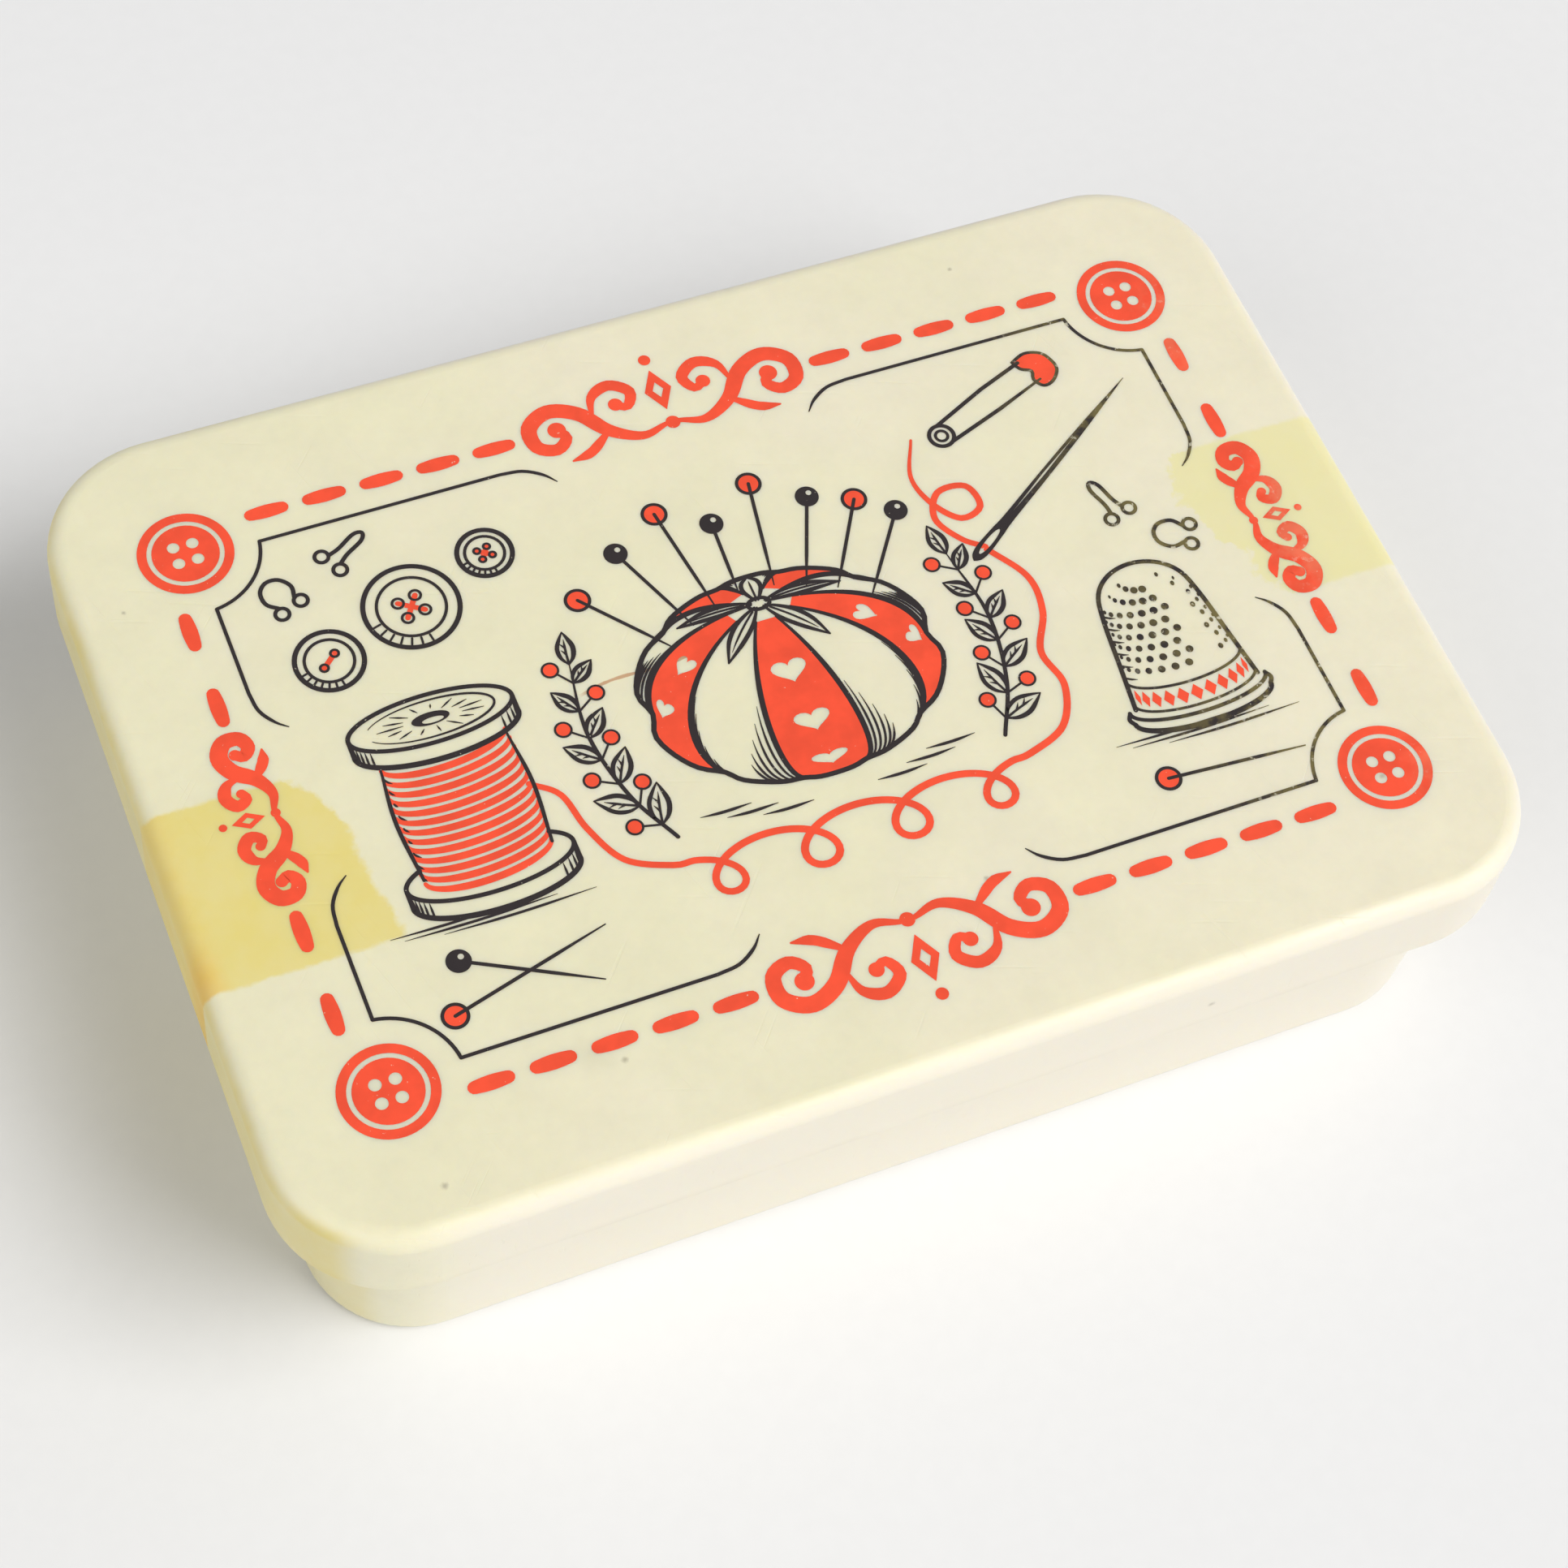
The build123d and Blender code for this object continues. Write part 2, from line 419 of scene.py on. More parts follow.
def plastic(name, half_width, half_depth, corner_radius, top, highest, grimy_level, wall_ageing_and_shade,
            add_marks=None):
    """Aged cream plastic with the tape's stains. top is where a flat top can take a stain, highest
    is where stains end, and add_marks changes the colour last."""
    settings = bpy.context.scene.pin_box_plastic
    material, w, place, shader = new_material(name)
    x, y, z = w.parts(place)
    facing = w.facing()
    tint = w.use(
        aged_tint(), cool=settings.cool_cream, warm=settings.warm_cream,
        cloud_size=settings.cloud_size / MM, mottle=0.10,
    )
    # The walls and the rounded edge are paler, and the paleness is partly painted light on the sides
    # that face the key lamp and on the edge's highlight; it is least at the shaded left end, and the
    # change is slower at the back
    pale_from = w.span(y, -10.0, 20.0) * 22.0 - 29.5
    upright = w.span(facing[2], 0.99, 0.7) * w.span(x, -36.5, pale_from, 0.1, 0.75)
    colour = w.mix(upright, tint["Colour"], settings.pale_and_lit_cream)
    # Yellowed edges with painted shade: the amber on the rounded edge between the top and the walls,
    # most on the left, is partly real yellowing and partly painted amber shade on faces turned away from
    # the key lamp
    ageing_and_shade = w.use(
        edge_ageing_and_shade(), half_width=half_width, half_depth=half_depth, corner_radius=corner_radius,
        reach=0.85,
    )
    to_left = w.span(x, -18.0, -41.0, 0.05, 1.0) * w.span(facing[1] - facing[0], -0.35, 0.05)
    rounded = w.span(facing[2], 0.0, 0.3) * w.span(facing[2], 0.95, 0.6)
    yellowed = ageing_and_shade["Mask"] * (rounded * (1.0 - wall_ageing_and_shade) + wall_ageing_and_shade)
    colour = w.mix(yellowed * to_left, colour, settings.aged_and_shade_amber)
    masks = []
    for strip in (
        dict(side=-1.0, near_edge=-10.8, inner_end=29.2, slant=0.10, torn=0.8, strength=0.98,
             stain=settings.stain, deep_stain=settings.deep_stain),
        dict(side=1.0, near_edge=-6.2, inner_end=33.5, slant=-0.38, torn=2.4, strength=0.78,
             stain=settings.faint_stain, deep_stain=settings.faint_stain),
    ):
        stained = w.use(
            tape_stain(), colour=colour, width=settings.tape_width / MM, top=top, lowest=3.0,
            highest=highest, **strip,
        )
        colour = stained["Colour"]
        masks.append(stained["Mask"])
    # Dirt that has gathered outside, where the skirt meets the tray
    dirt = w.span(w.noise(place, 6.0, 4.0, 0.6), 0.2, 0.8)
    near_joint = w.span(abs(z - grimy_level), 0.0, 1.1, 0.10, 0.0)
    outside = w.span(x * facing[0] + y * facing[1], 0.0, 5.0)
    colour = w.mix(dirt * near_joint * outside, colour, settings.grime)
    if add_marks:
        colour = add_marks(w, place, colour, settings)
    marks = w.use(handling_marks(), scratch_length=9.0, amount=1.0)
    dull = marks["Rubbing"] * 0.10 + settings.roughness + marks["Scratches"] * 0.18
    w.put_all(shader, {
        "Base Color": colour,
        "Roughness": dull + masks[0].at_least(masks[1]) * 0.10,
        "Normal": w.bumped(marks["Height"], 0.012),
        "Subsurface Weight": 0.7,
        "Subsurface Radius": (1.0, 0.85, 0.55),
        "Subsurface Scale": 0.9 * MM,
        "IOR": 1.5,
    })
    return material


def speck_mask(w, place, centre, radius):
    """A round speck with an uneven border."""
    wobble = w.noise(place, radius * 0.9, 2.0) * (radius * 0.9)
    return w.span(w.distance(place, centre) + wobble, radius * 0.4, radius * 2.0, 1.0, 0.0)


def lid_marks(w, place, colour, settings):
    """The lid's colour with its specks, its smudge and a thin rusty scratch across the top."""
    specks = speck_mask(w, place, *SPECKS[0])
    for speck in SPECKS[1:]:
        specks = specks.at_least(speck_mask(w, place, *speck))
    colour = w.mix(specks * 0.45, colour, settings.grime)
    colour = w.mix(speck_mask(w, place, *SMUDGE) * 0.10, colour, settings.grime)
    start, end = (Vector(point) for point in SCRATCH_ENDS)
    length = (end - start).length
    turn = -math.atan2(end.y - start.y, end.x - start.x)
    along, across, level = w.parts(w.spun(place, turn, (*start, 0)))
    along = along - start.x
    off = abs(across - start.y - (along * 0.7).sine() * 0.25)
    line = w.span(off - w.noise(place, 0.8, 3.0) * 0.16, 0.0, 0.07, 1.0, 0.0)
    within = w.span(along, 0.0, 1.0) * w.span(along, length - 1, length, 1.0, 0.0)
    rusty = line * within * (level.above(LID_TOP - 0.2) * 0.7)
    return w.mix(rusty, colour, settings.rust)


class PINBOX_OT_lid(bpy.types.Operator):
    """Dresses the lid in aged plastic with tape stains, specks and a scratch"""

    bl_idname = "pin_box.lid"
    bl_label = "Dress the Lid"

    def execute(self, context):
        paint("lid", plastic(
            "aged_plastic_lid", LID_HIGH.x / MM, LID_HIGH.y / MM, LID_CORNER, top=LID_TOP - 1.0,
            highest=2 * LID_TOP, grimy_level=SKIRT_FOOT, wall_ageing_and_shade=0.8, add_marks=lid_marks,
        ))
        return {"FINISHED"}


class PINBOX_OT_tray(bpy.types.Operator):
    """Dresses the tray in the same plastic, with dirt along the joint under the lid"""

    bl_idname = "pin_box.tray"
    bl_label = "Dress the Tray"

    def execute(self, context):
        # The walls lean, so the yellowed band with its painted amber shade starts a little inside the
        # rim's outline
        paint("tray", plastic(
            "aged_plastic_tray", TRAY_HIGH.x / MM - 0.5, TRAY_HIGH.y / MM - 0.5, TRAY_CORNER,
            top=2 * LID_TOP, highest=SKIRT_FOOT, grimy_level=SKIRT_FOOT - 0.3, wall_ageing_and_shade=0.45,
        ))
        return {"FINISHED"}


# Pins


class PINBOX_OT_glass_heads(bpy.types.Operator):
    """Dresses the white and black glass heads"""

    bl_idname = "pin_box.glass_heads"
    bl_label = "Dress the Glass Heads"

    def execute(self, context):
        settings = context.scene.pin_box_pins
        for kind, colour, swirl in (
            ("pearl", settings.pearl, settings.pearl_swirl),
            ("black", settings.jet, settings.jet_swirl),
        ):
            material, w, place, shader = new_material(f"{kind}_glass")
            bands = w.span(w.noise(place, 1.3, 3.0, 0.6), 0.42, 0.72)
            w.put_all(shader, {
                "Base Color": w.mix(bands * 0.6, colour, swirl),
                "Roughness": w.span(w.noise(place, 0.5, 3.0), 0.3, 0.8, 0.05, 0.16),
                "Normal": w.bumped(w.noise(place, 1.0, 2.0), 0.01),
                "Coat Weight": 0.5,
                "Coat Roughness": 0.03,
            })
            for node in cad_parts:
                if node.startswith(kind) and node.endswith("_head"):
                    paint(node, material)
        return {"FINISHED"}


class PINBOX_OT_steel_pins(bpy.types.Operator):
    """Dresses the shanks and the plain pins in plated steel that has dulled in places"""

    bl_idname = "pin_box.steel_pins"
    bl_label = "Dress the Steel Pins"

    def execute(self, context):
        settings = context.scene.pin_box_pins
        material, w, place, shader = new_material("plated_steel")
        dulled = w.span(w.noise(place, 2.2, 4.0, 0.65), 0.52, 0.78)
        w.put_all(shader, {
            "Base Color": w.mix(dulled * 0.7, settings.steel, settings.tarnish),
            "Roughness": dulled * 0.25 + 0.16,
            "Normal": w.bumped(dulled * 0.6 + w.noise(place, 0.15, 2.0), 0.003),
            "Metallic": 1.0,
        })
        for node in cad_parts:
            if node.endswith("_shank") or node.startswith("plain_pin"):
                paint(node, material)
        return {"FINISHED"}


# Drawing


def turned(x=0.0, y=0.0, degrees=0.0, scale=1.0, mirror=False):
    """A function that moves a motif's own points to their place on the lid."""
    cosine, sine = math.cos(math.radians(degrees)), math.sin(math.radians(degrees))
    side = -1 if mirror else 1

    def move(point):
        u, v = point[0] * scale * side, point[1] * scale
        return (x + u * cosine - v * sine, y + u * sine + v * cosine)

    return move


def on_ellipse(centre, across, up, degrees):
    angle = math.radians(degrees)
    return (centre[0] + across * math.cos(angle), centre[1] + up * math.sin(angle))


def ellipse(centre, across, up=None, start=0.0, end=360.0, step=0.35):
    """Points on an ellipse from start to end, in degrees."""
    up = across if up is None else up
    sweep = end - start
    count = max(8, math.ceil(abs(math.radians(sweep)) * max(across, up) / step))
    last = count if abs(sweep) >= 360 else count + 1
    return [on_ellipse(centre, across, up, start + sweep * n / count) for n in range(last)]


def straight(start, end, parts=2):
    """Points on a straight line."""
    return [tuple(Vector(start).lerp(Vector(end), n / parts)) for n in range(parts + 1)]


def flowing(points, step=0.35):
    """A smooth path through the points, closely spaced."""
    points = [Vector(point) for point in points]
    ends = [2 * points[0] - points[1], *points, 2 * points[-1] - points[-2]]
    path = []
    for before, start, end, after in zip(ends, ends[1:], ends[2:], ends[3:]):
        count = max(2, math.ceil((end - start).length / step))
        for number in range(count):
            t = number / count
            path.append(0.5 * (
                2 * start + (end - before) * t
                + (2 * before - 5 * start + 4 * end - after) * t ** 2
                + (3 * start - before - 3 * end + after) * t ** 3
            ))
    return [tuple(point) for point in path + [points[-1]]]


def signed_area(loop):
    return sum(a[0] * b[1] - b[0] * a[1] for a, b in zip(loop, loop[1:] + loop[:1])) / 2


class Ink:
    """Flat shapes of one colour, in millimetres on the lid's top, gathered into one thin mesh.
    at moves the points of the shapes that come next."""

    SUNK = 0.01  # how far the ink's underside is below the lid's surface
    LEVELS = 40  # shapes that cross lie on levels of their own, so that no two faces coincide
    LEVEL_STEP = 0.00012
    CLIMB = 0.0012  # how far a stroke rises along its length, so that it can cross itself
    RED_SHARE = 0.75  # black is printed over red, so red stands this much less proud

    def __init__(self, colour):
        settings = bpy.context.scene.pin_box_print
        red = colour == "red"
        self.colour = colour
        self.line_width = (settings.red_line if red else settings.black_line) / MM
        self.top = LID_TOP + settings.thickness / MM * (self.RED_SHARE if red else 1.0)
        self.bottom = LID_TOP - self.SUNK
        self.points = []
        self.faces = []
        self.shapes = 0
        self.at = turned()

    def slab(self, outline_points, top_faces, loops, climbs=None):
        """Adds a closed slab: its points, its upper faces, and the loops that bound them."""
        first, count = len(self.points), len(outline_points)
        level = self.top - self.LEVEL_STEP * (self.shapes % self.LEVELS)
        self.shapes += 1
        self.points += [(x, y, self.bottom) for x, y in outline_points]
        for number, (x, y) in enumerate(outline_points):
            climb = climbs[number] if climbs else 0.0
            self.points.append((x, y, level + self.CLIMB * (climb - 1.0)))
        for face in top_faces:
            self.faces.append([first + count + number for number in face])
            self.faces.append([first + number for number in reversed(face)])
        for loop in loops:
            for a, b in zip(loop, loop[1:] + loop[:1]):
                self.faces.append([first + a, first + b, first + count + b, first + count + a])

    def fill(self, outline, *holes):
        """Adds a filled shape, less its holes."""
        loops = []
        for number, loop in enumerate((outline, *holes)):
            loop = [self.at(point) for point in loop]
            wanted = 1 if number == 0 else -1
            loops.append(loop if signed_area(loop) * wanted > 0 else loop[::-1])
        points = [point for loop in loops for point in loop]
        faces = []
        for triangle in tessellate_polygon([[Vector((x, y, 0)) for x, y in loop] for loop in loops]):
            area = signed_area([points[number] for number in triangle])
            if abs(area) > 1e-9:
                faces.append(list(triangle) if area > 0 else list(reversed(triangle)))
        bounds, first = [], 0
        for loop in loops:
            bounds.append(list(range(first, first + len(loop))))
            first += len(loop)
        self.slab(points, faces, bounds)

    def line(self, path, width=1.0, start=1.0, end=1.0, swell=0.0):
        """Adds a stroke. width is a share of the ink's line width, start and end are shares of
        that at the stroke's ends, and swell is how much fuller it is in the middle."""
        path = [Vector(self.at(point)) for point in path]
        path = [a for a, b in zip(path, path[1:]) if (b - a).length > 1e-4] + [path[-1]]
        last = len(path) - 1
        half = self.line_width * width / 2
        rungs = []
        for number, point in enumerate(path):
            t = number / last
            way = path[min(number + 1, last)] - path[max(number - 1, 0)]
            share = min(1.0, start + (1 - start) * t * 3, end + (1 - end) * (1 - t) * 3)
            rungs.append((point, way.normalized(), half * (share + swell * math.sin(math.pi * t))))
        # Round ends, as more rungs that narrow
        ends = []
        for (point, way, reach), side in ((rungs[0], -1), (rungs[-1], 1)):
            angles = [math.radians(angle) for angle in (30, 60, 85)]
            ends.append([(point + way * side * reach * math.sin(angle), way, reach * math.cos(angle))
                         for angle in angles])
        left, right = [], []
        for point, way, reach in ends[0][::-1] + rungs + ends[1]:
            across = Vector((-way.y, way.x)) * reach
            left.append(tuple(point + across))
            right.append(tuple(point - across))
        count = len(left)
        faces = [[count + n, count + n + 1, n + 1, n] for n in range(count - 1)]
        outline = list(range(count, 2 * count)) + list(range(count - 1, -1, -1))
        climbs = [number / (count - 1) for number in range(count)]
        self.slab(left + right, faces, [outline], climbs * 2)

    def ring(self, path, width=1.0):
        """Adds a closed stroke."""
        path = [Vector(self.at(point)) for point in path]
        if signed_area(path) < 0:
            path.reverse()
        count = len(path)
        outer, inner, faces = [], [], []
        for number, point in enumerate(path):
            after = (number + 1) % count
            way = (path[after] - path[number - 1]).normalized()
            across = Vector((-way.y, way.x)) * self.line_width * width / 2
            outer.append(tuple(point - across))
            inner.append(tuple(point + across))
            faces.append([number, after, count + after, count + number])
        loops = [list(range(count)), list(range(2 * count - 1, count - 1, -1))]
        self.slab(outer + inner, faces, loops)

    def dot(self, centre, radius):
        self.fill(ellipse(centre, radius, step=0.12))

    def piece(self, name):
        """Adds the shapes to the lid as one piece."""
        mesh = bpy.data.meshes.new(name)
        mesh.from_pydata([[value * MM for value in point] for point in self.points], [], self.faces)
        mesh.validate()
        mesh.materials.append(ink_material(self.colour))
        made = add_object(name, mesh)
        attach(made, "lid")


def add_object(name, data):
    made = bpy.data.objects.new(name, data)
    bpy.context.scene.collection.objects.link(made)
    return made


def ink_material(colour):
    """Printed ink with pinholes, which is worn thin towards the lid's right end."""
    name = f"{colour}_ink"
    if name in bpy.data.materials:
        return bpy.data.materials[name]
    ink = bpy.context.scene.pin_box_print
    material, w, place, shader = new_material(name)
    fresh, thin, worn_from = {
        "red": (ink.red, ink.thin_red, 38.0), "black": (ink.black, ink.thin_black, 24.0),
    }[colour]
    worn = w.use(
        ink_wear(), ink=fresh, thin_ink=thin, bare=bpy.context.scene.pin_box_plastic.warm_cream,
        worn_from=worn_from,
    )
    shade = w.span(w.noise(place, 2.6, 3.0, 0.6), 0.3, 0.7, 0.90, 1.06)
    w.put_all(shader, {
        "Base Color": w.scaled(worn["Colour"], shade),
        "Roughness": worn["Mask"] * 0.15 + 0.38,
        "Normal": w.bumped(w.noise(place, 0.5, 3.0), 0.004),
        "Specular IOR Level": 0.3,
    })
    return material


def printed(motif, draw):
    """Draws a motif in both inks and adds a piece for each ink that it has used."""
    inks = Ink("red"), Ink("black")
    draw(*inks)
    for ink in inks:
        if ink.points:
            ink.piece(f"print_{motif}_{ink.colour}")
    return {"FINISHED"}


# The border


BUTTON_RADIUS = 3.1
STITCH, STITCH_GAP, STITCH_END = 2.9, 1.4, 0.4
LONG_GAP, SHORT_GAP = 10.6, 6.9  # from the middle of a side to its first stitch
CLEAR_OF_BUTTON = 4.4

# Half of a border scroll, as paths in millimetres from its middle
LONG_SCROLL = ((0.5, -1.7), (2.3, -2.1), (4.3, -1.0), (5.8, 0.9), (7.7, 1.7), (9.3, 0.8),
               (9.3, -0.8), (8.1, -1.4), (7.2, -0.7), (7.6, 0.1))
SHORT_SCROLL = ((5.0, 0.3), (4.5, 1.9), (3.1, 2.5), (1.9, 1.6), (2.4, 0.5), (3.2, 0.8))
LEAF_SCROLL = ((4.4, -1.1), (6.0, -2.3), (7.4, -2.6))


def sewn_button(ink, centre, radius):
    """A flat button: a rim, a groove and a middle with four holes."""
    spread = radius * 0.288
    pierced = []
    for degrees in (45, 135, 225, 315):
        pierced.append(ellipse(on_ellipse(centre, spread, spread, degrees), radius * 0.13, step=0.1))
    ink.fill(ellipse(centre, radius), ellipse(centre, radius * 0.80))
    ink.fill(ellipse(centre, radius * 0.70), *pierced)


def border_scroll(ink, at):
    """A pair of scrolls back to back, with a lozenge between them."""
    for side in (1, -1):
        ink.at = lambda point: at((point[0] * side, point[1]))
        ink.line(flowing(LONG_SCROLL), 0.9, start=0.4, end=0.8, swell=0.25)
        ink.dot((7.6, 0.1), 0.62)
        ink.line(flowing(SHORT_SCROLL), 0.7, start=0.3, end=0.8, swell=0.2)
        ink.dot((3.15, 0.85), 0.5)
        ink.line(flowing(LEAF_SCROLL), 0.7, start=0.5, end=0.2)
    ink.at = at
    ink.fill([(0, -0.6), (0.95, 1.1), (0, 2.8), (-0.95, 1.1)],
             [(0, 0.45), (0.38, 1.1), (0, 1.75), (-0.38, 1.1)])
    ink.dot((0, 3.7), 0.42)
    ink.dot((0, -1.7), 0.5)


def draw_border(red, black):
    settings = bpy.context.scene.pin_box_print
    half_width, half_depth = settings.half_width / MM, settings.half_depth / MM
    corner = Vector((half_width - 1.5, half_depth - 1.5))
    # The fine line bows in round each button and curls up at its ends
    inner, bow = Vector((half_width - 2.1, half_depth - 2.1)), CLEAR_OF_BUTTON + 0.35
    tilt = math.degrees(math.asin((corner.y - inner.y) / bow))
    bowed = ellipse(corner, bow, start=180 + tilt, end=270 - tilt)
    upper = [(LONG_GAP - 1.6, inner.y - 1.7), (LONG_GAP - 0.9, inner.y - 0.9),
             (LONG_GAP + 0.3, inner.y - 0.2), (LONG_GAP + 1.8, inner.y)]
    side = [(inner.x - 1.6, SHORT_GAP - 1.3), (inner.x - 0.9, SHORT_GAP - 0.7),
            (inner.x - 0.2, SHORT_GAP + 0.4), (inner.x, SHORT_GAP + 1.8)]
    for right, up in ((1, 1), (1, -1), (-1, 1), (-1, -1)):
        red.at = turned()
        sewn_button(red, (corner.x * right, corner.y * up), BUTTON_RADIUS)
        red.at = black.at = lambda point: (point[0] * right, point[1] * up)
        for start, end, upright in (
            (LONG_GAP, corner.x - CLEAR_OF_BUTTON, False), (SHORT_GAP, corner.y - CLEAR_OF_BUTTON, True),
        ):
            count = round((end - start + STITCH_GAP) / (STITCH + STITCH_GAP))
            gap = (end - start - count * STITCH) / max(count - 1, 1)
            for number in range(count):
                near = start + number * (STITCH + gap)
                ends = near + STITCH_END, near + STITCH - STITCH_END
                spots = [(half_width, end) if upright else (end, half_depth) for end in ends]
                red.line(straight(*spots, 4), 0.85, swell=0.2)
        black.line(bowed, 0.8)
        black.line(flowing(upper) + [bowed[0]], 0.8, start=0.3)
        black.line(flowing(side) + [bowed[-1]], 0.8, start=0.3)
    for degrees, x, y, scale in (
        (0, 0, half_depth, 1.0), (180, 0, -half_depth, 1.0),
        (-90, half_width, 0, 0.62), (90, -half_width, 0, 0.62),
    ):
        border_scroll(red, turned(x, y, degrees, scale))


class PINBOX_OT_border(bpy.types.Operator):
    """Prints the border: red running stitches, scrolls and corner buttons, and a fine black line"""

    bl_idname = "pin_box.border"
    bl_label = "Print the Border"

    def execute(self, context):
        return printed("border", draw_border)


# The pincushion


class Cushion:
    """A round pincushion of ten swelling panels, seen from above its front."""

    middle = (0.0, -1.0)
    radius = 10.2
    half_height = 6.6
    seen_from = math.radians(32)
    panels = 10
    pinch = 0.07

    def spot(self, theta, phi):
        """The point at theta degrees down from the top and phi degrees round from the front."""
        down, around = math.radians(theta), math.radians(phi)
        drawn_in = abs(math.sin(self.panels / 2 * around)) ** 8
        reach = self.radius * (1 - self.pinch * drawn_in * math.sin(down) ** 2) * math.sin(down)
        height = self.half_height * math.cos(down) * math.cos(self.seen_from)
        y = height - reach * math.cos(around) * math.sin(self.seen_from)
        return (self.middle[0] + reach * math.sin(around), self.middle[1] + y)

    def horizon(self, phi):
        """How far down the surface stays in sight at phi."""
        lean = self.radius / self.half_height * math.tan(self.seen_from)
        return math.degrees(math.atan2(lean, -math.cos(math.radians(phi))))

    def meridian(self, phi, start, end, count=22):
        return [self.spot(start + (end - start) * n / count, phi) for n in range(count + 1)]

    def heart(self, theta, phi, size):
        """The outline of a heart lying on the cushion."""
        points = []
        for number in range(28):
            t = 2 * math.pi * number / 28
            up = (13 * math.cos(t) - 5 * math.cos(2 * t) - 2 * math.cos(3 * t) - math.cos(4 * t)) / 16
            wide = math.sin(t) ** 3 * size / max(math.sin(math.radians(theta)), 0.3)
            points.append(self.spot(theta - up * size, phi + wide))
        return points


# Pins in the cushion: where each goes in, where its head is, and the head's ink
CUSHION_PINS = (
    ((-6.4, 3.2), (-11.0, 8.6), "red"), ((-4.6, 4.4), (-7.4, 11.2), "black"),
    ((-2.7, 5.0), (-3.9, 13.3), "red"), ((-0.9, 5.9), (-0.6, 11.4), "black"),
    ((1.5, 5.6), (2.9, 13.6), "red"), ((3.5, 4.9), (6.2, 11.4), "black"),
    ((5.4, 4.1), (9.1, 10.2), "red"), ((7.2, 2.7), (11.4, 8.5), "black"),
)


def ball_pin(red, black, point, head, colour):
    """A pin from its point to its round head."""
    black.line(straight(point, head, 6), 0.8, start=0.35)
    if colour == "red":
        red.dot(head, 0.78)
        black.ring(ellipse(head, 0.78, step=0.15), 0.75)
    else:
        glint = (head[0] + 0.22, head[1] + 0.25)
        black.fill(ellipse(head, 0.80, step=0.15), ellipse(glint, 0.2, step=0.08))


def draw_cushion(red, black):
    cushion = Cushion()
    top, seam = 13.0, 18.0
    for phi in range(0, 360, 36):
        phi = phi - 360 if phi > 180 else phi
        left, right = phi - seam, phi + seam
        black.line(cushion.meridian(left, top, cushion.horizon(left)), start=0.6, swell=0.25)
        if phi % 72 == 0:
            # A red panel with hearts left bare
            outline = cushion.meridian(left + 0.6, top, cushion.horizon(left))
            rim = [left + (right - left) * n / 12 for n in range(1, 12)]
            outline += [cushion.spot(cushion.horizon(p), p) for p in rim]
            outline += cushion.meridian(right - 0.6, top, cushion.horizon(right))[::-1]
            levels = {0: (44, 74, 104), 72: (42, 68), 144: ()}[abs(phi)]
            size = 7.0 if phi == 0 else 5.6
            red.fill(outline, *[cushion.heart(theta, phi * 0.93, size) for theta in levels])
        else:
            # A bare panel, shaded with fine strokes along its seams
            for number in range(5):
                off = 2.4 + 1.9 * number
                reach = 0.95 - 0.13 * number
                for side in (left + off, right - off * 1.15):
                    low = cushion.horizon(side) * 0.985
                    high = low - (low - top) * reach * 0.62
                    black.line(cushion.meridian(side, high, low, 12), 0.55, start=0.2, end=0.7)
            # A pointed leaf of the cap over it
            spread = ((3, 10), (9, 15), (16, 13), (25, 7), (36, 0))
            one = [cushion.spot(theta, phi - wide) for theta, wide in spread]
            other = [cushion.spot(theta, phi + wide) for theta, wide in reversed(spread)]
            black.line(flowing(one, 0.2), 0.85, start=0.6, end=0.5, swell=0.2)
            black.line(flowing(other, 0.2), 0.85, start=0.5, end=0.6, swell=0.2)
            rib_end = min(30, cushion.horizon(phi) * 0.6)
            black.line(cushion.meridian(phi, 6, rib_end, 8), 0.5, end=0.2)
    black.ring([cushion.spot(cushion.horizon(p), p) for p in range(-180, 180, 3)], 1.15)
    black.ring(ellipse(cushion.spot(0, 0), 0.75, 0.42, step=0.15), 0.9)
    for pin in CUSHION_PINS:
        ball_pin(red, black, *pin)
    # The ground under it
    for reach, level in ((9.4, -9.0), (7.8, -9.55), (5.6, -10.1)):
        for side in (-1, 1):
            path = [(side * reach, level), (side * (reach - 1.6), level - 0.1),
                    (side * (reach - 3.4), level - 0.05)]
            black.line(flowing(path), 0.7, start=0.15, end=0.2)


class PINBOX_OT_cushion(bpy.types.Operator):
    """Prints the pincushion with its pins, in the middle of the lid"""

    bl_idname = "pin_box.cushion"
    bl_label = "Print the Pincushion"

    def execute(self, context):
        return printed("pincushion", draw_cushion)


# The reel, the needle and the thimble


def ground(ink, strokes, level, step):
    """Level strokes under a thing that stands, from start to end, each a step below the last."""
    for number, (start, end) in enumerate(strokes):
        y = level - step * number
        ink.line(flowing([(start, y), ((start + end) / 2, y - 0.1), (end, y)]), 0.6, start=0.15,
                 end=0.15)


